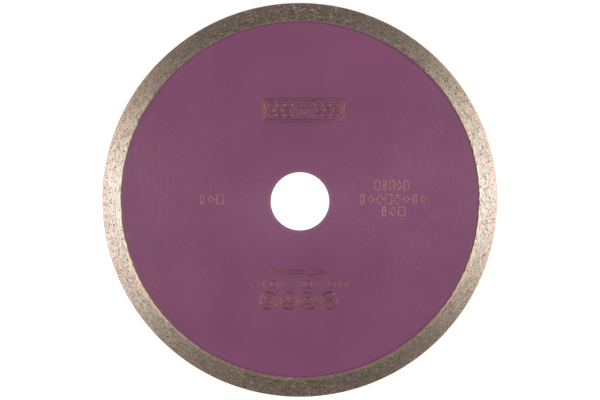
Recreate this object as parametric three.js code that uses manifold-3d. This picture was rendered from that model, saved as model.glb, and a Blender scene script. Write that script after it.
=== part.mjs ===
// Continuous-rim diamond blade for cutting tile and stone.
//
// The blade stands upright: its spin axis is Y, its marked front face looks towards -Y, and the
// origin is the centre of the bore, half-way through the thickness. Sizes are in millimetres.

import * as THREE from 'three';
import { mergeVertices } from 'three/addons/utils/BufferGeometryUtils.js';
import Module from 'manifold-3d';

const wasm = await Module();
wasm.setup();

// ---- driving dimensions -------------------------------------------------------------------------

const BLADE_DIAMETER = 150;
const BORE_DIAMETER = 22.2;
const RIM_THICKNESS = 1.6;
const RIM_HEIGHT = 7.5; // from the rim's inner edge to the cutting edge
const CORE_THICKNESS = 1.2;

const BORE_CHAMFER = 0.15;
const CUTTING_EDGE_CHAMFER = 0.15;
const CORE_INSERTION = 1.4; // how far the core reaches into the rim
const BOND_RING_HEIGHT = 2.1; // the diamond-free foot of the rim
const FLANK_WIDTH = 0.6; // the bevel from the core's face up to the rim's side face
const FLANK_FOOT = 0.04; // how high the bevel starts above the core's face
const FLANK_STEP = 0.04; // the bare step at the top of the bevel, where the lacquer ends

const KEY_COUNT = 32; // teeth that lock the rim to the core
const KEY_DEPTH = 1.2;
const KEY_MOUTH = 2.4;
const KEY_ROOT = 3.2;

const LACQUER_THICKNESS = 0.05;
const LACQUER_EDGE_THICKNESS = 0.02; // where it thins out at the top of the flank
const LACQUER_EDGE_RECESS = 0.005; // how far its edge stays below the rim's side face
const LACQUER_BORE_MARGIN = 0.25; // bare metal left round the bore
const LACQUER_FILLET_WIDTH = 0.75; // where it pools against the rim

const SEAT = 0.01; // between the core's face and the lacquer on it
const FLANK_GAP = 0.06; // between the rim's flank and the lacquer on it, along the radius
const CLEARANCE = 0.02; // between the pressed faces of core, bond ring and rim
const KEY_CLEARANCE = 0.05; // between the teeth's walls

const SEGMENTS = 96; // facets round each ring, a multiple of 4 to keep the true width and height

// ---- sizes worked out from the driving dimensions -----------------------------------------------

const bladeRadius = BLADE_DIAMETER / 2;
const boreRadius = BORE_DIAMETER / 2;
const rimHalf = RIM_THICKNESS / 2;
const coreHalf = CORE_THICKNESS / 2;
const rimInnerRadius = bladeRadius - RIM_HEIGHT;
const coreRadius = rimInnerRadius + CORE_INSERTION;
const bondRingRadius = rimInnerRadius + BOND_RING_HEIGHT;
const flankTopRadius = rimInnerRadius + FLANK_WIDTH;

// ---- shape helpers ------------------------------------------------------------------------------

// A solid ring round the Y axis from a closed outline of [radius, height] points.
function ring(outline) {
  const points = outline.map(([radius, height]) => new THREE.Vector2(radius, height));
  if (THREE.ShapeUtils.area(points) < 0) points.reverse();
  return new THREE.LatheGeometry([...points, points[0].clone()], SEGMENTS);
}

// A ring whose outline is the same above and below the middle plane. The outline lists the upper
// half, from the outer wall inwards.
function mirroredRing(upperOutline) {
  const lowerOutline = upperOutline.map(([radius, height]) => [radius, -height]).reverse();
  return ring([...upperOutline, ...lowerOutline]);
}

function toSolid(geometry) {
  const bare = geometry.clone();
  bare.deleteAttribute('normal');
  bare.deleteAttribute('uv');
  const merged = mergeVertices(bare, 1e-5);
  const vertProperties = new Float32Array(merged.attributes.position.array);
  const triVerts = new Uint32Array(merged.index.array);
  return new wasm.Manifold(new wasm.Mesh({ numProp: 3, vertProperties, triVerts }));
}

function toGeometry(solid) {
  const { vertProperties, triVerts } = solid.getMesh();
  const geometry = new THREE.BufferGeometry();
  geometry.setAttribute('position', new THREE.BufferAttribute(vertProperties, 3));
  geometry.setIndex(new THREE.BufferAttribute(triVerts, 1));
  geometry.computeVertexNormals();
  return geometry;
}

// One dovetail notch in the edge of a disc of the given radius: wider at its root than at its
// mouth, open outwards, and inset on every wall by the given clearance.
function dovetail(radius, inset) {
  const mouth = KEY_MOUTH / 2 - inset;
  const root = KEY_ROOT / 2 - inset;
  const floor = radius - KEY_DEPTH + inset;
  const beyond = radius + 1;
  const outline = new THREE.Shape();
  outline.moveTo(-root, floor);
  outline.lineTo(root, floor);
  outline.lineTo(mouth, radius);
  outline.lineTo(mouth, beyond);
  outline.lineTo(-mouth, beyond);
  outline.lineTo(-mouth, radius);
  const length = 2 * RIM_THICKNESS;
  const geometry = new THREE.ExtrudeGeometry(outline, { depth: length, bevelEnabled: false });
  geometry.translate(0, 0, -length / 2);
  return geometry.rotateX(Math.PI / 2);
}

// Cuts the ring of notches out of a disc whose edge is at the given radius.
function notched(disc, radius, inset) {
  let solid = toSolid(disc);
  for (let key = 0; key < KEY_COUNT; key += 1) {
    const angle = ((key + 0.5) / KEY_COUNT) * 2 * Math.PI;
    const notch = toSolid(dovetail(radius, inset).rotateY(angle));
    solid = solid.subtract(notch);
  }
  return solid;
}

// ---- pieces -------------------------------------------------------------------------------------

// The steel disc, with a chamfered bore and a toothed outer edge.
function steelCore() {
  const disc = mirroredRing([
    [coreRadius, coreHalf],
    [boreRadius + BORE_CHAMFER, coreHalf],
    [boreRadius, coreHalf - BORE_CHAMFER],
  ]);
  return toGeometry(notched(disc, coreRadius, 0));
}

// The diamond-free foot of the rim: a channel that grips the core's edge and fills its notches.
function bondRing() {
  const foot = mirroredRing([
    [bondRingRadius, rimHalf],
    [flankTopRadius, rimHalf],
    [flankTopRadius, rimHalf - FLANK_STEP],
    [rimInnerRadius, coreHalf + FLANK_FOOT],
  ]);
  const channelRadius = coreRadius + KEY_CLEARANCE;
  const insideTheFoot = rimInnerRadius - 1;
  const channel = mirroredRing([
    [channelRadius, coreHalf + CLEARANCE],
    [insideTheFoot, coreHalf + CLEARANCE],
  ]);
  return toGeometry(toSolid(foot).subtract(notched(channel, channelRadius, KEY_CLEARANCE)));
}

// The diamond-bearing ring, with its two cutting corners broken.
function diamondRim() {
  return mirroredRing([
    [bladeRadius, rimHalf - CUTTING_EDGE_CHAMFER],
    [bladeRadius - CUTTING_EDGE_CHAMFER, rimHalf],
    [bondRingRadius + CLEARANCE, rimHalf],
  ]);
}

// The lacquer on one face: a thin film that pools against the rim and climbs its flank. side is -1
// for the front face and 1 for the rear face.
function lacquer(side) {
  const innerRadius = boreRadius + LACQUER_BORE_MARGIN;
  const footRadius = rimInnerRadius - FLANK_GAP;
  const edgeRadius = flankTopRadius - FLANK_GAP;
  const under = coreHalf + SEAT;
  const top = under + LACQUER_THICKNESS;
  const edgeTop = rimHalf - LACQUER_EDGE_RECESS;
  const outline = [
    [innerRadius, under],
    [footRadius, under],
    [footRadius, top],
    [edgeRadius, edgeTop - LACQUER_EDGE_THICKNESS],
    [edgeRadius, edgeTop],
    [footRadius, top + LACQUER_THICKNESS],
    [footRadius - LACQUER_FILLET_WIDTH, top],
    [innerRadius + LACQUER_THICKNESS, top],
  ];
  return ring(outline.map(([radius, height]) => [radius, side * height]));
}

// ---- materials ----------------------------------------------------------------------------------

const groundSteel = new THREE.MeshStandardMaterial({ color: 0xa99d92, metalness: 0.9, roughness: 0.35 });
const plainBond = new THREE.MeshStandardMaterial({ color: 0xb9a98c, metalness: 0.9, roughness: 0.4 });
const diamondBond = new THREE.MeshStandardMaterial({ color: 0x9c8b76, metalness: 0.8, roughness: 0.5 });
const purpleLacquer = new THREE.MeshStandardMaterial({ color: 0x7f4e6b, metalness: 0, roughness: 0.45 });

// ---- assembly -----------------------------------------------------------------------------------

const blade = new THREE.Group();

function addPiece(name, geometry, material) {
  const piece = new THREE.Mesh(geometry, material);
  piece.name = name;
  blade.add(piece);
}

addPiece('steel_core', steelCore(), groundSteel);
addPiece('bond_ring', bondRing(), plainBond);
addPiece('diamond_rim', diamondRim(), diamondBond);
addPiece('front_lacquer', lacquer(-1), purpleLacquer);
addPiece('rear_lacquer', lacquer(1), purpleLacquer);

export default blade;
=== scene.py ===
"""The looks of a continuous-rim diamond blade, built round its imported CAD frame.

The blade stands upright: its spin axis is Y and its marked front face looks towards -Y. Blender's
lengths are in metres. The outlines and marks below are worked out in millimetres and scaled once,
when their mesh is made.
"""
import math
import random

import bmesh
import bpy
import numpy as np
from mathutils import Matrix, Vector
from mathutils.geometry import delaunay_2d_cdt


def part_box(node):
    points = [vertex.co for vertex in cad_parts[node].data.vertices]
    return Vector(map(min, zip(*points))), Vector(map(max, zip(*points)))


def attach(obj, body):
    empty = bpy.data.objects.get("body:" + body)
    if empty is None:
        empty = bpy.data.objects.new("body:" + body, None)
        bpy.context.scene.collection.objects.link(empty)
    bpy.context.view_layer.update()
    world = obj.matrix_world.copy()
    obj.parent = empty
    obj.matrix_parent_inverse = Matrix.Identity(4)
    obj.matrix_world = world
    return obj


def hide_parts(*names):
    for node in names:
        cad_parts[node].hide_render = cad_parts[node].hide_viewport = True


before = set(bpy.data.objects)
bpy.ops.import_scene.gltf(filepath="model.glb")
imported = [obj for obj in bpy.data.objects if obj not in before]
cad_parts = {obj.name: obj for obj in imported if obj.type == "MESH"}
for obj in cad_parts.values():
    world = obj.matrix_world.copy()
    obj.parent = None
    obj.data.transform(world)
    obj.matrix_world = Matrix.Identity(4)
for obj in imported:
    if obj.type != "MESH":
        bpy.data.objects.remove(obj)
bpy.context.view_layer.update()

MM = 0.001
TURN = 2 * math.pi

# ---- sizes taken from the frame, in millimetres --------------------------------------------------


def radii(node):
    """The smallest and largest distance of a CAD node's points from the spin axis."""
    distances = [math.hypot(v.co.x, v.co.z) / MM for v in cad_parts[node].data.vertices]
    return min(distances), max(distances)


BORE_RADIUS, CORE_RADIUS = radii("steel_core")
FOOT_RADIUS, BOND_RADIUS = radii("bond_ring")
BLADE_RADIUS = radii("diamond_rim")[1]
LACQUER_START, LACQUER_END = radii("front_lacquer")
CORE_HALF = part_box("steel_core")[1].y / MM
RIM_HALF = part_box("diamond_rim")[1].y / MM

BORE_CHAMFER = 0.15
EDGE_CHAMFER = 0.28
LACQUER_TOP = CORE_HALF + 0.06
FILLET_START = FOOT_RADIUS - 0.9

# The rim's sides were ground a little off centre, so the bare metal starts on a shifted circle.
GROUND_START = LACQUER_END + 0.16
GROUND_MIDDLE = (0.10, 0.33)

ROUND = 720  # steps round each ring

# ---- mesh helpers --------------------------------------------------------------------------------


class Shell:
    """Collects points and faces in millimetres, then makes them one mesh object."""

    def __init__(self):
        self.points = []
        self.faces = []
        self.slots = []

    def add(self, points, faces, slot=0):
        start = len(self.points)
        self.points.extend(points)
        self.faces.extend([start + corner for corner in face] for face in faces)
        self.slots.extend([slot] * len(faces))

    def finish(self, name, materials, crease_degrees=25):
        """Makes the object. Points that coincide are merged, so that touching surfaces join."""
        mesh = bpy.data.meshes.new(name)
        mesh.from_pydata([Vector(p) * MM for p in self.points], [], self.faces)
        mesh.polygons.foreach_set("material_index", self.slots)
        work = bmesh.new()
        work.from_mesh(mesh)
        bmesh.ops.remove_doubles(work, verts=work.verts, dist=1e-4 * MM)
        bmesh.ops.recalc_face_normals(work, faces=work.faces)
        work.to_mesh(mesh)
        work.free()
        for material in materials:
            mesh.materials.append(material)
        mesh.shade_smooth()
        mesh.set_sharp_from_angle(angle=math.radians(crease_degrees))
        piece = bpy.data.objects.new(name, mesh)
        bpy.context.scene.collection.objects.link(piece)
        return piece


def around(radius, height, step):
    """The point at a radius and height, a number of steps round the spin axis."""
    angle = step / ROUND * TURN
    return (radius * math.cos(angle), height, radius * math.sin(angle))


def revolve(shell, outline, slots=None, closed=True):
    """Turns an outline round the spin axis. outline gives the [radius, height] points at each step."""
    columns = [outline(step) for step in range(ROUND)]
    count = len(columns[0])
    bands = count if closed else count - 1
    points = [around(r, h, step) for step, column in enumerate(columns) for r, h in column]
    for band in range(bands):
        faces = []
        for step in range(ROUND):
            here = step * count
            there = (step + 1) % ROUND * count
            above = (band + 1) % count
            faces.append((here + band, here + above, there + above, there + band))
        shell.add(points, faces, slots[band] if slots else 0)


def ground_start(step):
    """Where the bare ground metal starts, as a radius, at a number of steps round the spin axis."""
    angle = step / ROUND * TURN
    return GROUND_START + GROUND_MIDDLE[0] * np.cos(angle) + GROUND_MIDDLE[1] * np.sin(angle)


def steady(*outline):
    """An outline that is the same all the way round."""
    return lambda step: outline


def fixed(radius):
    """A radius that is the same all the way round."""
    return lambda step: radius


def ring(radius_at):
    """Points round a ring in the plane of the blade's face, as (x, z)."""
    return [around(radius_at(step), 0.0, step)[::2] for step in range(ROUND)]


def circle(radius, count=ROUND, centre=(0.0, 0.0)):
    """Points round a circle in the plane of the blade's face, as (x, z)."""
    angles = [n / count * TURN for n in range(count)]
    return [(centre[0] + radius * math.cos(a), centre[1] + radius * math.sin(a)) for a in angles]


class Plan:
    """A flat drawing of points and edges, cut into triangles that keep every edge."""

    def __init__(self):
        self.points = []
        self.edges = []

    def loop(self, points):
        start = len(self.points)
        self.points.extend(points)
        count = len(points)
        self.edges.extend((start + n, start + (n + 1) % count) for n in range(count))

    def triangles(self):
        points = [Vector(p) for p in self.points]
        made = delaunay_2d_cdt(points, self.edges, [], 0, 1e-5, False)
        spots = np.array([tuple(p) for p in made[0]])
        corners = np.array(made[2])
        return spots, corners


def between(spots, corners, inner, outer):
    """Keeps the triangles whose middles lie between two rings, each given as a radius at any step."""
    middle = spots[corners].mean(axis=1)
    steps = np.arctan2(middle[:, 1], middle[:, 0]) / TURN * ROUND
    reach = np.linalg.norm(middle, axis=1)
    return corners[(reach > inner(steps)) & (reach < outer(steps))]


# ---- node helpers --------------------------------------------------------------------------------


def add(tree, kind, inputs=None, **settings):
    """Adds a node. An input's value is a plain value or the output socket that feeds it."""
    node = tree.nodes.new(kind)
    for name, value in settings.items():
        setattr(node, name, value)
    for name, value in (inputs or {}).items():
        if isinstance(value, bpy.types.NodeSocket):
            tree.links.new(value, node.inputs[name])
        else:
            node.inputs[name].default_value = value
    return node


def input_name(label):
    """The name of the shader input that a label stands for, such as Base Color for base_color."""
    return label.replace("_", " ").title().replace("Ior", "IOR")


def new_material(name, **plain):
    """A material with one Principled shader, and its node tree. plain holds uniform values."""
    material = bpy.data.materials.new(name)
    material.use_nodes = True
    tree = material.node_tree
    tree.nodes.clear()
    shader = add(tree, "ShaderNodeBsdfPrincipled")
    output = add(tree, "ShaderNodeOutputMaterial")
    tree.links.new(shader.outputs[0], output.inputs[0])
    for label, value in plain.items():
        shader.inputs[input_name(label)].default_value = value
    return material, tree, shader


def feed(tree, shader, **sockets):
    """Links sockets to the shader inputs that their labels stand for."""
    for label, socket in sockets.items():
        tree.links.new(socket, shader.inputs[input_name(label)])


def rgba(colour):
    return (*colour, 1.0)


def maths(tree, operation, a, b=0.0):
    return add(tree, "ShaderNodeMath", {0: a, 1: b}, operation=operation).outputs[0]


def spread(tree, value, low, high, new_low=0.0, new_high=1.0):
    """Maps a value from low..high to new_low..new_high, and holds it there."""
    ends = {"Value": value, "From Min": low, "From Max": high, "To Min": new_low, "To Max": new_high}
    return add(tree, "ShaderNodeMapRange", ends).outputs[0]


def blend_colours(tree, share, a, b):
    """Mixes two colours, each a plain colour or the socket of one. A share of 1 gives b alone."""
    ends = {0: share}
    for place, colour in ((6, a), (7, b)):
        ends[place] = colour if isinstance(colour, bpy.types.NodeSocket) else rgba(colour)
    return add(tree, "ShaderNodeMix", ends, data_type="RGBA").outputs[2]


def noise(tree, place, scale, detail=2.0, roughness=0.5):
    ends = {"Vector": place, "Scale": scale, "Detail": detail, "Roughness": roughness}
    return add(tree, "ShaderNodeTexNoise", ends).outputs[0]


class Polar:
    """Sockets for where a point lies on the blade: its place and its distance from the spin axis,
    in millimetres, and the direction of that distance."""

    def __init__(self, tree, middle=(0.0, 0.0)):
        self.tree = tree
        here = add(tree, "ShaderNodeTexCoord").outputs["Object"]
        self.place = self.vector("SCALE", here, scale=1 / MM)
        shifted = self.vector("SUBTRACT", self.place, (middle[0], 0, middle[1]))
        flat = self.vector("MULTIPLY", shifted, (1, 0, 1))
        self.radius = add(tree, "ShaderNodeVectorMath", {0: flat}, operation="LENGTH").outputs[1]
        self.direction = self.vector("NORMALIZE", flat)

    def vector(self, operation, a, b=(0, 0, 0), scale=1.0):
        ends = {0: a, 1: b, 3: scale}
        return add(self.tree, "ShaderNodeVectorMath", ends, operation=operation).outputs[0]

    def streaks(self, length, width, shift=0.0):
        """Noise drawn out round the spin axis, as grinding leaves it. length is in degrees of turn
        and width in millimetres. Each shift gives other streaks."""
        tree = self.tree
        round_about = self.vector("SCALE", self.direction, scale=1 / math.radians(length))
        lift = add(tree, "ShaderNodeMath", {0: self.radius, 1: 1 / width, 2: shift}, operation="MULTIPLY_ADD")
        across = add(tree, "ShaderNodeCombineXYZ", {"Y": lift.outputs[0]}).outputs[0]
        return noise(tree, self.vector("ADD", round_about, across), 1.0, 3.0)

    def tangent(self):
        """The direction round the spin axis."""
        return add(self.tree, "ShaderNodeTangent", direction_type="RADIAL", axis="Y").outputs[0]


def bump(tree, height, distance_mm):
    return add(tree, "ShaderNodeBump", {"Height": height, "Distance": distance_mm * MM}).outputs[0]


# ---- materials -----------------------------------------------------------------------------------

# Base colours, as linear red, green and blue.
LACQUER = (0.181, 0.068, 0.141)
LACQUER_PALE = (0.201, 0.077, 0.157)
# A painted highlight tone for the lacquer.
LACQUER_HIGHLIGHT = (0.270, 0.125, 0.212)
# Thick pooled lacquer, darkened further by painted shade.
LACQUER_POOLED_SHADE = (0.136, 0.045, 0.113)
LACQUER_THIN = (0.40, 0.27, 0.27)
DUST = (0.34, 0.22, 0.31)
EDGE_BROWN = (0.075, 0.032, 0.028)

STEEL = (0.60, 0.52, 0.47)
STEEL_DARK = (0.50, 0.42, 0.38)
STEEL_WARM = (0.56, 0.47, 0.38)
ETCHED = (0.48, 0.30, 0.25)
ETCHED_DARK = (0.22, 0.10, 0.08)
ETCHED_WARM = (0.34, 0.21, 0.15)

FOOT_PALE = (0.86, 0.80, 0.71)
FOOT_DARK = (0.46, 0.40, 0.325)
# A painted highlight tone for the foot's lower inner edge.
FOOT_HIGHLIGHT = (1.0, 0.88, 0.69)
BOND_PALE = (0.80, 0.785, 0.735)
BOND_DARK = (0.44, 0.39, 0.325)
BOND_GREEN = (0.66, 0.62, 0.52)
BOND_WARM = (0.74, 0.62, 0.53)

COPPER = (0.68, 0.355, 0.235)
COPPER_DARK = (0.36, 0.22, 0.15)
COPPER_GREEN = (0.42, 0.31, 0.20)

PIT = (0.07, 0.045, 0.03)
PIT_RUSTY = (0.16, 0.11, 0.07)
GRIT = (0.42, 0.40, 0.26)
GRIT_PALE = (0.62, 0.57, 0.42)


def lacquer_material():
    """Satin purple lacquer over a ground face, ground away to a thin pinkish edge at the rim."""
    material, tree, shader = new_material("purple_lacquer", anisotropic_rotation=0.25)
    polar = Polar(tree)
    rim = Polar(tree, GROUND_MIDDLE)
    cloud = noise(tree, polar.place, 0.045, 3.0)
    grain = polar.streaks(length=4, width=0.42)
    ragged = noise(tree, polar.place, 1.1, 3.0, 0.6)
    reach = maths(tree, "ADD", rim.radius, spread(tree, ragged, 0.3, 0.7, -0.10, 0.10))

    colour = blend_colours(tree, spread(tree, cloud, 0.35, 0.65), LACQUER, LACQUER_PALE)
    # Painted light: the lacquer is lightened towards the bore, and a narrow ring by the bore's edge is
    # painted as the highlight of its bead.
    near_bore = spread(tree, polar.radius, LACQUER_START, LACQUER_START + 12, 0.22, 0.0)
    colour = blend_colours(tree, near_bore, colour, LACQUER_HIGHLIGHT)
    by_bore = spread(tree, polar.radius, LACQUER_START + 0.5, LACQUER_START + 1.1, 0.5, 0.0)
    colour = blend_colours(tree, by_bore, colour, LACQUER_HIGHLIGHT)
    # Painted highlights: grain streaks are lightened only towards the left and right, where the lamps' sheen
    # falls on the face.
    sideways = add(tree, "ShaderNodeSeparateXYZ", {0: rim.direction}).outputs[0]
    at_sides = spread(tree, maths(tree, "ABSOLUTE", sideways), 0.5, 0.9, 0.06, 0.4)
    side_highlights = maths(tree, "MULTIPLY", spread(tree, grain, 0.52, 0.68), at_sides)
    colour = blend_colours(tree, side_highlights, colour, LACQUER_HIGHLIGHT)
    # A dark band where the lacquer pools against the rim's flank: partly the deeper colour of thick lacquer,
    # partly painted shade in the crease. The band is also glossier.
    pooled_shaded_band = spread(tree, reach, GROUND_START - 1.05, GROUND_START - 0.75)
    colour = blend_colours(tree, pooled_shaded_band, colour, LACQUER_POOLED_SHADE)
    thin = spread(tree, reach, GROUND_START - 0.48, GROUND_START - 0.26)
    colour = blend_colours(tree, thin, colour, LACQUER_THIN)
    # Dark brown patches along the thin edge, mostly on the right-hand side.
    on_right = spread(tree, sideways, 0.3, 0.9, 0.2, 1.0)
    patchy = spread(tree, ragged, 0.38, 0.48)
    brown_patches = maths(tree, "MULTIPLY", maths(tree, "MULTIPLY", thin, on_right), patchy)
    colour = blend_colours(tree, brown_patches, colour, EDGE_BROWN)
    speck = add(tree, "ShaderNodeTexVoronoi", {"Vector": polar.place, "Scale": 0.16})
    dust = spread(tree, speck.outputs["Distance"], 0.012, 0.03, 0.55, 0.0)
    colour = blend_colours(tree, dust, colour, DUST)

    satin = spread(tree, grain, 0.35, 0.7, 0.50, 0.40)
    peel = noise(tree, polar.place, 1.6)
    height = maths(tree, "ADD", maths(tree, "MULTIPLY", grain, 0.8), maths(tree, "MULTIPLY", peel, 0.2))
    feed(
        tree, shader,
        base_color=colour,
        roughness=maths(tree, "SUBTRACT", satin, maths(tree, "MULTIPLY", pooled_shaded_band, 0.22)),
        anisotropic=spread(tree, pooled_shaded_band, 0.0, 0.5, 0.7, 0.0),
        specular_ior_level=spread(tree, pooled_shaded_band, 0.0, 1.0, 0.15, 0.6),
        metallic=maths(tree, "MULTIPLY", maths(tree, "SUBTRACT", thin, brown_patches), 0.6),
        normal=bump(tree, height, 0.012),
        tangent=polar.tangent(),
    )
    return material


def ground_metal(name, pale, dark, tint, rough, width, speckle=0.35, metallic=1.0, low_edge_highlight=0.0):
    """Metal ground round the spin axis: streaked, patchy, and brightest where its grain faces a light.
    width is that of a fine streak, in millimetres. low_edge_highlight is how strong a painted highlight is
    on the foot's inner edge, low on the blade."""
    material, tree, shader = new_material(name, anisotropic=0.93, anisotropic_rotation=0.25)
    polar = Polar(tree)
    fine = polar.streaks(length=1.6, width=width)
    broad = polar.streaks(length=6.0, width=width * 3, shift=17)
    worn = polar.streaks(length=0.9, width=width * 0.8, shift=31)
    patch = noise(tree, polar.place, 0.35, 3.0)
    grains = noise(tree, polar.place, 2.2, 2.0, 0.7)

    colour = blend_colours(tree, spread(tree, fine, 0.40, 0.56), dark, pale)
    colour = blend_colours(tree, spread(tree, broad, 0.5, 0.7, 0.0, 0.6), colour, pale)
    colour = blend_colours(tree, spread(tree, grains, 0.5, 0.7, 0.0, speckle), colour, dark)
    colour = blend_colours(tree, spread(tree, patch, 0.5, 0.75, 0.0, 0.5), colour, tint)
    outwards = spread(tree, polar.radius, BOND_RADIUS, BLADE_RADIUS, 0.0, 0.5)
    colour = blend_colours(tree, outwards, colour, BOND_WARM)
    # Painted highlight: the foot's inner edge is lightened low on the blade, where it faces up into the
    # light.
    if low_edge_highlight:
        rim = Polar(tree, GROUND_MIDDLE)
        upwards = add(tree, "ShaderNodeSeparateXYZ", {0: rim.direction}).outputs[2]
        low_down = spread(tree, upwards, -0.6, 0.1, low_edge_highlight, 0.0)
        inner_edge = spread(tree, rim.radius, GROUND_START + 0.3, GROUND_START + 1.0, 1.0, 0.0)
        colour = blend_colours(tree, maths(tree, "MULTIPLY", low_down, inner_edge), colour, FOOT_HIGHLIGHT)

    feed(
        tree, shader,
        base_color=colour,
        roughness=spread(tree, fine, 0.3, 0.7, rough + 0.1, rough),
        # The worn streaks scatter some light, so they stay pale where the rest reflects a dark room.
        metallic=spread(tree, worn, 0.58, 0.65, metallic, metallic - 0.36),
        normal=bump(tree, maths(tree, "ADD", fine, grains), 0.05),
        tangent=polar.tangent(),
    )
    return material


def pit_material():
    """The oxidised inside of a pit in the bond metal."""
    material, tree, shader = new_material("pit", metallic=0.2, roughness=0.75)
    polar = Polar(tree)
    mottle = noise(tree, polar.place, 3.0, 3.0)
    colour = blend_colours(tree, spread(tree, mottle, 0.35, 0.65), PIT, PIT_RUSTY)
    feed(tree, shader, base_color=colour, normal=bump(tree, mottle, 0.02))
    return material


def grit_material():
    """Synthetic diamond grit: yellowish-grey crystals with bright facets."""
    material, tree, shader = new_material("diamond_grit", ior=2.2)
    polar = Polar(tree)
    cloud = noise(tree, polar.place, 0.9)
    colour = blend_colours(tree, spread(tree, cloud, 0.4, 0.6), GRIT, GRIT_PALE)
    feed(tree, shader, base_color=colour, roughness=spread(tree, cloud, 0.3, 0.7, 0.12, 0.3))
    return material


lacquer = lacquer_material()
steel = ground_metal("ground_steel", STEEL, STEEL_DARK, STEEL_WARM, rough=0.52, width=0.3)
etched = ground_metal("etched_steel", ETCHED, ETCHED_DARK, ETCHED_WARM, rough=0.5, width=0.3,
                      speckle=0.5, metallic=0.85)
bond = ground_metal("plain_bond", FOOT_PALE, FOOT_DARK, BOND_GREEN, rough=0.56, width=0.36,
                    speckle=0.5, low_edge_highlight=0.7)
rim_metal = ground_metal("diamond_bond", BOND_PALE, BOND_DARK, BOND_GREEN, rough=0.56, width=0.36,
                         speckle=0.6)
copper = ground_metal("cutting_edge", COPPER, COPPER_DARK, COPPER_GREEN, rough=0.5, width=0.3,
                      speckle=0.6, metallic=0.5)
pit = pit_material()
grit = grit_material()

# ---- etched marks on the front face --------------------------------------------------------------

STROKE_HALF = 0.17  # half a groove's width at its top
FLOOR_HALF = 0.09  # half its width at its floor
GROOVE_DEPTH = 0.04


class Marks:
    """Generic marks made of straight strokes and rings, in millimetres as (x, z)."""

    def __init__(self):
        self.strokes = []
        self.rings = []

    def path(self, *points):
        self.strokes.extend(zip(points, points[1:]))

    def outline(self, *points):
        self.path(*points, points[0])

    def box(self, left, right, low, high):
        self.outline((left, low), (right, low), (right, high), (left, high))

    def ring(self, centre, radius):
        self.rings.append((centre, radius))

    def draw(self, plan):
        """Draws the top edges and the floor edges of every groove."""
        for a, b in self.strokes:
            along = math.atan2(b[1] - a[1], b[0] - a[0])
            for half in (STROKE_HALF, FLOOR_HALF):
                plan.loop(half_circle(b, half, along - TURN / 4) + half_circle(a, half, along + TURN / 4))
        for centre, radius in self.rings:
            count = 12 + 8 * math.ceil(radius)
            for width in (-STROKE_HALF, -FLOOR_HALF, FLOOR_HALF, STROKE_HALF):
                plan.loop(circle(radius + width, count, centre))

    def distance(self, spots):
        """How far each spot lies from the nearest middle line."""
        nearest = np.full(len(spots), np.inf)
        for a, b in self.strokes:
            start, along = np.array(a), np.subtract(b, a)
            share = np.clip((spots - start) @ along / (along @ along), 0, 1)
            off = np.linalg.norm(spots - start - share[:, None] * along, axis=1)
            nearest = np.minimum(nearest, off)
        for centre, radius in self.rings:
            off = abs(np.linalg.norm(spots - centre, axis=1) - radius)
            nearest = np.minimum(nearest, off)
        return nearest


def half_circle(centre, radius, start):
    """Five points half-way round the end of a stroke."""
    angles = [start + n * TURN / 8 for n in range(5)]
    return [(centre[0] + radius * math.cos(a), centre[1] + radius * math.sin(a)) for a in angles]


def badge(marks, x, z, width, height):
    """A plain plate: a double frame, with rows of laid tiles on both sides of a cut gem."""
    for inset in (0.0, 0.9):
        half_w, half_h = width / 2 - inset, height / 2 - inset
        marks.box(x - half_w, x + half_w, z - half_h, z + half_h)
    tile_w, tile_h, gap = 2.5, 1.2, 0.7
    for side in (-1, 1):
        for row in (-1, 0, 1):
            start = 4.3 + (0.0 if row else 0.8)
            low = z + row * (tile_h + gap) - tile_h / 2
            for n in range(3):
                near = x + side * (start + n * (tile_w + gap))
                far = near + side * tile_w
                marks.box(min(near, far), max(near, far), low, low + tile_h)
    gem_w, gem_h, table_w, facet_w = 3.4, height / 2 - 2.1, 2.0, 1.3
    girdle = z + gem_h * 0.35
    marks.outline((x, z - gem_h), (x + gem_w, girdle), (x + table_w, z + gem_h), (x - table_w, z + gem_h),
                  (x - gem_w, girdle))
    marks.path((x - gem_w, girdle), (x + gem_w, girdle))
    marks.path((x - facet_w, girdle), (x, z - gem_h), (x + facet_w, girdle))


# Each symbol's corners, in a square of side 1.
SYMBOLS = {
    "square": ((0.0, 0.0), (1.0, 0.0), (1.0, 1.0), (0.0, 1.0)),
    "bar": ((0.28, 0.0), (0.72, 0.0), (0.72, 1.0), (0.28, 1.0)),
    "rhombus": ((0.5, 0.0), (1.0, 0.5), (0.5, 1.0), (0.0, 0.5)),
    "lozenge": ((0.5, 0.15), (1.0, 0.5), (0.5, 0.85), (0.0, 0.5)),
}


def symbol_row(marks, seed, left, right, low, high, count):
    """A row of plain outlined shapes, no two alike side by side."""
    draw = random.Random(seed)
    gap = 0.9
    width = (right - left - gap * (count - 1)) / count
    last = None
    for n in range(count):
        kind = draw.choice([name for name in SYMBOLS if name != last])
        start = left + n * (width + gap)
        marks.outline(*[(start + x * width, low + z * (high - low)) for x, z in SYMBOLS[kind]])
        last = kind


def turning_arrow(marks):
    """The arrow for the direction of turning."""
    tail, neck, tip = -11.1, 2.7, 9.8
    z, shaft, head = -27.0, 0.65, 1.55
    marks.outline((neck, z + shaft), (tail, z + shaft), (tail, z - shaft), (neck, z - shaft),
                  (neck, z - head), (tip, z), (neck, z + head))


def ringed_symbols(marks):
    """Four broad rings, each round a plain shape."""
    z = -37.9
    first, second, third, fourth = -12.1, -4.4, 3.2, 11.1
    for x in (first, second, third, fourth):
        for radius in (3.32, 3.0):
            marks.ring((x, z), radius)
    marks.ring((first, z), 1.5)
    marks.ring((first, z), 0.6)
    marks.outline((second - 1.6, z - 1.1), (second + 1.6, z - 1.1), (second, z + 1.7))
    marks.box(third - 1.3, third + 1.3, z - 1.2, z + 1.2)
    for n in (-1, 0, 1):
        marks.path((fourth - 1.6, z + 0.85 * n), (fourth + 1.6, z + 0.85 * n))


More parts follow.
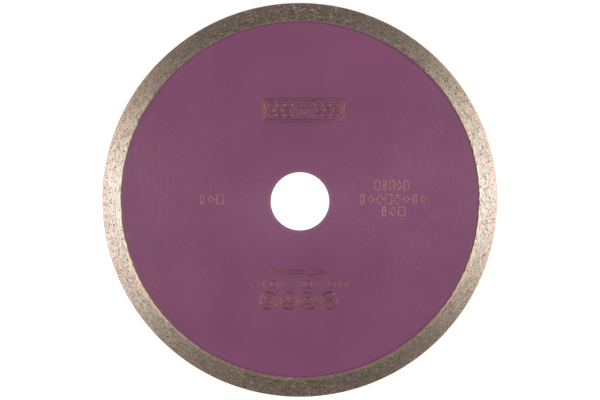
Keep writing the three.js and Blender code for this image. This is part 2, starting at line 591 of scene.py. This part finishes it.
# Where the rows of symbols lie: left, right, low, high, and how many symbols each has.
SYMBOL_ROWS = (
    (-38.3, -29.1, -0.9, 2.5, 3),
    (28.6, 41.3, 4.5, 7.9, 5),
    (22.5, 48.2, -1.0, 2.6, 8),
    (30.7, 39.9, -5.5, -2.2, 3),
    (-20.1, -13.3, -33.0, -30.3, 3),
    (-10.9, -2.8, -33.0, -30.3, 3),
    (-0.6, 19.2, -33.0, -30.3, 7),
)


def front_marks():
    """Every mark on the front face."""
    marks = Marks()
    badge(marks, x=1.3, z=34.6, width=31.0, height=8.9)
    for seed, row in enumerate(SYMBOL_ROWS, start=1):
        symbol_row(marks, seed, *row)
    turning_arrow(marks)
    ringed_symbols(marks)
    return marks


# ---- pieces --------------------------------------------------------------------------------------

MARKED_INNER = BORE_RADIUS + 0.2
marks = front_marks()
face_plan = Plan()
face_plan.loop(circle(MARKED_INNER))
face_plan.loop(circle(FILLET_START))
marks.draw(face_plan)
face_spots, face_corners = face_plan.triangles()
face_corners = between(face_spots, face_corners, fixed(MARKED_INNER), fixed(FILLET_START))
in_groove = marks.distance(face_spots[face_corners].mean(axis=1)) < STROKE_HALF
wall_share = (STROKE_HALF - marks.distance(face_spots)) / (STROKE_HALF - FLOOR_HALF)
groove_depths = GROOVE_DEPTH * np.clip(wall_share, 0, 1)


def flat_points(spots, heights):
    return [(x, y, z) for (x, z), y in zip(spots, heights)]


def open_edges(corners, spots, keep):
    """The edges that belong to one triangle only and pass the test keep."""
    seen = {}
    for face in corners:
        for a, b in zip(face, np.roll(face, -1)):
            pair = (min(a, b), max(a, b))
            seen[pair] = seen.get(pair, 0) + 1
    return [pair for pair, count in seen.items() if count == 1 and keep(spots[list(pair)])]


def inside_face(ends):
    """True for an edge that isn't part of the face's own two circles."""
    reach = np.linalg.norm(ends, axis=1)
    on_circle = [abs(reach - limit).max() < 1e-3 for limit in (MARKED_INNER, FILLET_START)]
    return not any(on_circle)


def make_core():
    """The steel disc: a chamfered bore, and the marks' grooves in its front face."""
    shell = Shell()
    heights = -CORE_HALF + groove_depths
    points = flat_points(face_spots, heights)
    shell.add(points, face_corners[~in_groove].tolist(), 0)
    shell.add(points, face_corners[in_groove].tolist(), 1)
    revolve(shell, steady(
        (FILLET_START, -CORE_HALF), (CORE_RADIUS, -CORE_HALF), (CORE_RADIUS, CORE_HALF),
        (BORE_RADIUS + BORE_CHAMFER, CORE_HALF), (BORE_RADIUS, CORE_HALF - BORE_CHAMFER),
        (BORE_RADIUS, BORE_CHAMFER - CORE_HALF), (BORE_RADIUS + BORE_CHAMFER, -CORE_HALF),
        (MARKED_INNER, -CORE_HALF),
    ), closed=False)
    return shell.finish("core_disc", [steel, etched])


def ragged_edge(seed):
    """How far the lacquer's ground edge strays at each step, in millimetres: a sum of many waves."""
    draw = random.Random(seed)
    swing = 0.020
    waves = [(draw.randint(5, 160), draw.uniform(0, TURN)) for _ in range(26)]
    return [
        sum(math.sin(step / ROUND * TURN * count + phase) for count, phase in waves) * swing
        for step in range(ROUND)
    ]


def lacquer_rim(side, stray, *last):
    """The lacquer's outline where it pools against the rim, climbs its flank and is ground away.
    last holds the outline's remaining points, further in."""
    def outline(step):
        reach = ground_start(step)
        edge = reach + stray[step]
        return (
            (FILLET_START, side * LACQUER_TOP),
            (reach - 0.92, side * (LACQUER_TOP + 0.003)),
            (reach - 0.82, side * (LACQUER_TOP + 0.020)),
            (reach - 0.72, side * (LACQUER_TOP + 0.075)),
            (reach - 0.62, side * (LACQUER_TOP + 0.125)),
            (reach - 0.50, side * (RIM_HALF + 0.010)),
            (edge - 0.12, side * (RIM_HALF + 0.010)),
            (edge, side * (RIM_HALF + 0.002)),
            (edge, side * (RIM_HALF - 0.03)),
            (reach - 0.80, side * CORE_HALF),
            *last,
        )
    return outline


def bore_lip(side):
    """The lacquer's edge at the bore, from its top down: it wraps over the bore's chamfer."""
    return (
        (MARKED_INNER, side * LACQUER_TOP),
        (BORE_RADIUS + 0.06, side * (CORE_HALF + 0.02)),
        (BORE_RADIUS + 0.01, side * (CORE_HALF - 0.03)),
        (BORE_RADIUS + 0.01, side * (CORE_HALF - 0.1)),
        (BORE_RADIUS + 0.15, side * (CORE_HALF - 0.1)),
    )


def make_front_lacquer():
    """The front film: cut through wherever a mark is etched."""
    shell = Shell()
    film = face_corners[~in_groove]
    tops = flat_points(face_spots, np.full(len(face_spots), -LACQUER_TOP))
    unders = flat_points(face_spots, np.full(len(face_spots), -CORE_HALF))
    shell.add(tops, film.tolist())
    shell.add(unders, film.tolist())
    walls = open_edges(film, face_spots, inside_face)
    count = len(tops)
    shell.add(tops + unders, [(a, b, b + count, a + count) for a, b in walls])
    revolve(shell, lacquer_rim(-1, ragged_edge(3), (FILLET_START, -CORE_HALF)), closed=False)
    revolve(shell, steady(*bore_lip(-1), (MARKED_INNER, -CORE_HALF)), closed=False)
    return shell.finish("front_film", [lacquer])


def make_rear_lacquer():
    """The rear film, which has no marks."""
    shell = Shell()
    inner = ((BORE_RADIUS + 0.15, CORE_HALF), *reversed(bore_lip(1)))
    revolve(shell, lacquer_rim(1, ragged_edge(8), *inner))
    return shell.finish("rear_film", [lacquer])


PIT_FLOOR = 0.6  # the width of a pit's floor, as a share of its mouth
PIT_FLOOR_DEPTH = 0.75  # the depth at the floor's edge, as a share of the depth at its middle
PITS_IN_RIM = 1000
PITS_IN_FOOT = 150


class Pit:
    """One pit in a side face of the rim: an irregular outline drawn out round the spin axis."""

    def __init__(self, draw, inner, outer):
        self.angle = draw.uniform(0, TURN)
        low, high = inner(self.angle / TURN * ROUND) + 0.3, outer - 0.35
        self.radius = math.sqrt(draw.uniform(low * low, high * high))
        self.centre = (self.radius * math.cos(self.angle), self.radius * math.sin(self.angle))
        self.width = draw.uniform(0.12, 0.26)
        self.length = self.width * draw.uniform(1.0, 1.8)
        self.lean = draw.gauss(0, 0.6)
        self.depth = draw.uniform(0.08, 0.17)
        self.lumps = [draw.uniform(0.75, 1.2) for _ in range(9)]

    def loop(self, size):
        """The pit's outline, or a smaller copy of it."""
        points = []
        cos, sin = math.cos(self.angle + self.lean), math.sin(self.angle + self.lean)
        for n, lump in enumerate(self.lumps):
            turn = n / len(self.lumps) * TURN
            outwards = math.cos(turn) * self.width * size * lump
            along = math.sin(turn) * self.length * size * lump
            points.append((self.centre[0] + outwards * cos - along * sin,
                           self.centre[1] + outwards * sin + along * cos))
        return points


def scatter_pits(seed, count, inner, outer):
    """Pits at random places between two rings, none touching another."""
    draw = random.Random(seed)
    pits = []
    taken = {}
    cell = 1.2  # so wide that a pit can touch only those in its own cell and the next ones
    while len(pits) < count:
        pit = Pit(draw, inner, outer)
        spot = (int(pit.centre[0] // cell), int(pit.centre[1] // cell))
        near = [other for dx in (-1, 0, 1) for dz in (-1, 0, 1)
                for other in taken.get((spot[0] + dx, spot[1] + dz), [])]
        apart = [math.dist(pit.centre, other.centre) - pit.length - other.length for other in near]
        if min(apart, default=1.0) > 0.02:
            taken.setdefault(spot, []).append(pit)
            pits.append(pit)
    return pits


def rounded(point):
    """A point as a dictionary key, the same before and after the plan is cut into triangles."""
    return tuple(np.round(point, 4))


def flank_top(step):
    """Where the rim's flank meets its side face, as a radius. The lacquer covers it."""
    return ground_start(step) - 0.40


def pitted_face(shell, side, inner, outer, pits):
    """One flat side face between two rings, with pits sunk into it."""
    plan = Plan()
    plan.loop(ring(inner))
    plan.loop(ring(fixed(outer)))
    depths = {}
    for pit in pits:
        plan.loop(pit.loop(1.0))
        floor = pit.loop(PIT_FLOOR)
        plan.loop(floor)
        plan.points.append(pit.centre)
        depths.update({rounded(point): pit.depth * PIT_FLOOR_DEPTH for point in floor})
        depths[rounded(pit.centre)] = pit.depth
    spots, corners = plan.triangles()
    corners = between(spots, corners, inner, fixed(outer))
    sunk = np.array([depths.get(rounded(spot), 0.0) for spot in spots])
    points = flat_points(spots, side * (RIM_HALF - sunk))
    in_pit = sunk[corners].max(axis=1) > 0
    shell.add(points, corners[~in_pit].tolist(), 0)
    shell.add(points, corners[in_pit].tolist(), 1)


RIM_EDGE = BLADE_RADIUS - EDGE_CHAMFER
rim_pits = {
    side: scatter_pits(11 + side, PITS_IN_RIM, fixed(BOND_RADIUS), RIM_EDGE) for side in (-1, 1)
}
foot_pits = {
    side: scatter_pits(21 + side, PITS_IN_FOOT, ground_start, BOND_RADIUS) for side in (-1, 1)
}


def make_foot():
    """The foot of the rim, with the flank that the lacquer climbs."""
    def flank(step):
        top = flank_top(step)
        rise = ((top, RIM_HALF), (top - 0.1, RIM_HALF - 0.02), (top - 0.4, CORE_HALF))
        return (*rise, *((radius, -height) for radius, height in reversed(rise)))

    shell = Shell()
    for side in (-1, 1):
        pitted_face(shell, side, flank_top, BOND_RADIUS, foot_pits[side])
    revolve(shell, flank, closed=False)
    revolve(shell, steady((BOND_RADIUS, RIM_HALF), (BOND_RADIUS, -RIM_HALF)), closed=False)
    return shell.finish("rim_foot", [bond, pit])


def make_rim():
    """The diamond-bearing ring: two pitted side faces, and the cutting edge between them."""
    shell = Shell()
    for side in (-1, 1):
        pitted_face(shell, side, fixed(BOND_RADIUS), RIM_EDGE, rim_pits[side])
    edge_height = RIM_HALF - EDGE_CHAMFER
    revolve(shell, steady(
        (RIM_EDGE, -RIM_HALF), (BLADE_RADIUS, -edge_height), (BLADE_RADIUS, edge_height),
        (RIM_EDGE, RIM_HALF),
    ), slots=(2, 2, 2), closed=False)
    revolve(shell, steady((BOND_RADIUS, RIM_HALF), (BOND_RADIUS, -RIM_HALF)), closed=False)
    return shell.finish("diamond_ring", [rim_metal, pit, copper])


def cuboctahedron():
    """The usual habit of synthetic grit: a cube with its corners cut back to its edges' middles."""
    work = bmesh.new()
    for a in (-1, 1):
        for b in (-1, 1):
            for point in ((a, b, 0), (a, 0, b), (0, a, b)):
                work.verts.new(point)
    bmesh.ops.convex_hull(work, input=work.verts)
    bmesh.ops.dissolve_limit(work, angle_limit=0.01, verts=work.verts, edges=work.edges)
    work.verts.index_update()
    points = np.array([v.co for v in work.verts]) / math.sqrt(2)
    faces = [[v.index for v in face.verts] for face in work.faces]
    work.free()
    return points, faces


def random_turn(draw):
    """A random rotation matrix."""
    axes = np.linalg.qr(np.array([[draw.gauss(0, 1) for _ in range(3)] for _ in range(3)]))[0]
    return axes * np.sign(np.linalg.det(axes))


FILLED_PITS = 0.4  # the share of the rim's pits that still hold a crystal
EDGE_CRYSTALS = 700


def make_grit():
    """Diamond crystals: some lie in the side faces' pits, others stand in the cutting edge."""
    shape, faces = cuboctahedron()
    shell = Shell()
    draw = random.Random(5)

    def add_crystal(centre, size):
        stretch = np.array([draw.uniform(0.8, 1.2) for _ in range(3)])
        points = (shape * stretch * size) @ random_turn(draw).T + np.array(centre)
        shell.add([tuple(point) for point in points], faces)

    for side, pits in rim_pits.items():
        for pit in pits:
            if draw.random() < FILLED_PITS:
                x, z = pit.centre
                size = pit.width * draw.uniform(0.55, 0.85)
                add_crystal((x, side * (RIM_HALF - size * draw.uniform(0.6, 1.0)), z), size)
    for _ in range(EDGE_CRYSTALS):
        angle = draw.uniform(0, TURN)
        height = draw.uniform(-1, 1) * (RIM_HALF - 0.2)
        size = draw.uniform(0.11, 0.17)
        radius = BLADE_RADIUS - size * draw.uniform(0.75, 0.95)
        add_crystal((radius * math.cos(angle), height, radius * math.sin(angle)), size)
    return shell.finish("grit_crystals", [grit], crease_degrees=5)


for piece, node, slot in (
    (make_core(), "steel_core", "core_steel"),
    (make_front_lacquer(), "front_lacquer", "purple_lacquer"),
    (make_rear_lacquer(), "rear_lacquer", "purple_lacquer"),
    (make_foot(), "bond_ring", "plain_bond"),
    (make_rim(), "diamond_rim", "diamond_bond"),
    (make_grit(), None, "diamond_bond"),
):
    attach(piece, "root")
    if node:
        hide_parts(node)

# ---- floor, light and camera ---------------------------------------------------------------------

WHITE = (1, 1, 1)
DIM_WARM = (0.197, 0.151, 0.116)

# Two softboxes stand at each lamp's place: their names, sizes, powers and colours.
SOFTBOXES = (
    ("tall", (0.9, 0.95), 9.5, (1.13, 0.87, 0.62)),
    ("key", (0.9, 0.35), 3.7, (0.86, 1.32, 2.0)),
)
LAMP_ASIDE = 0.86
LAMP_AWAY = 0.60
LAMP_UP = 0.07  # up on the right, down on the left


def make_floor():
    """A white floor that stays out of the blade's reflections."""
    shell = Shell()
    half = 3000
    height = -BLADE_RADIUS
    shell.add([(-half, -half, height), (half, -half, height), (half, half, height), (-half, half, height)],
              [(0, 1, 2, 3)])
    material, _, _ = new_material(
        "floor", base_color=rgba((0.35, 0.35, 0.35)), roughness=0.9, specular_ior_level=0.0,
        emission_color=rgba(WHITE), emission_strength=1.0,
    )
    floor = shell.finish("floor", [material])
    floor.visible_glossy = False
    floor.visible_diffuse = False


def softbox(name, place, size, power, colour):
    """A rectangular soft light, turned to the middle of the blade."""
    light = bpy.data.lights.new(name, "AREA")
    light.shape = "RECTANGLE"
    light.size, light.size_y = size
    light.energy = power
    light.color = colour
    lamp = bpy.data.objects.new(name, light)
    lamp.location = place
    lamp.rotation_mode = "QUATERNION"
    lamp.rotation_quaternion = (-Vector(place)).to_track_quat("-Z", "Y")
    lamp.visible_camera = False
    bpy.context.scene.collection.objects.link(lamp)


def make_lights():
    """The same lamps to the left and right of the blade, in front of it and behind it."""
    for back in (-1, 1):
        for side in (-1, 1):
            place = (side * LAMP_ASIDE, back * LAMP_AWAY, side * LAMP_UP)
            where = f"{'front' if back < 0 else 'rear'}_{'left' if side < 0 else 'right'}"
            for name, size, power, colour in SOFTBOXES:
                softbox(f"{name}_{where}", place, size, power, colour)


def make_world():
    """White where the camera sees past the blade, and a dim warm room for everything else."""
    world = bpy.data.worlds.new("room")
    bpy.context.scene.world = world
    world.use_nodes = True
    tree = world.node_tree
    tree.nodes.clear()
    room = add(tree, "ShaderNodeBackground", {"Color": rgba(DIM_WARM), "Strength": 1.0})
    white = add(tree, "ShaderNodeBackground", {"Color": rgba(WHITE), "Strength": 1.05})
    seen = add(tree, "ShaderNodeLightPath").outputs["Is Camera Ray"]
    mixed = add(tree, "ShaderNodeMixShader", {0: seen, 1: room.outputs[0], 2: white.outputs[0]})
    output = add(tree, "ShaderNodeOutputWorld")
    tree.links.new(mixed.outputs[0], output.inputs[0])


def make_camera():
    """A long lens, nearly straight on to the marked face and a little above its middle."""
    azimuth, elevation = math.radians(-0.7), math.radians(3.8)
    view_width = 0.2278
    aim = Vector((0.0, 0.0, 0.0005))
    camera = bpy.data.cameras.new("camera")
    camera.lens = 100.0
    camera.sensor_width = 36.0
    camera.clip_start, camera.clip_end = 0.01, 50.0
    holder = bpy.data.objects.new("camera", camera)
    back = Vector((math.sin(azimuth) * math.cos(elevation), -math.cos(azimuth) * math.cos(elevation),
                   math.sin(elevation)))
    away = view_width * camera.lens / camera.sensor_width + RIM_HALF * MM
    holder.location = aim + back * away
    holder.rotation_mode = "QUATERNION"
    holder.rotation_quaternion = (-back).to_track_quat("-Z", "Y")
    bpy.context.scene.collection.objects.link(holder)
    bpy.context.scene.camera = holder


make_floor()
make_world()
make_camera()
make_lights()
bpy.context.scene.view_settings.view_transform = "Standard"
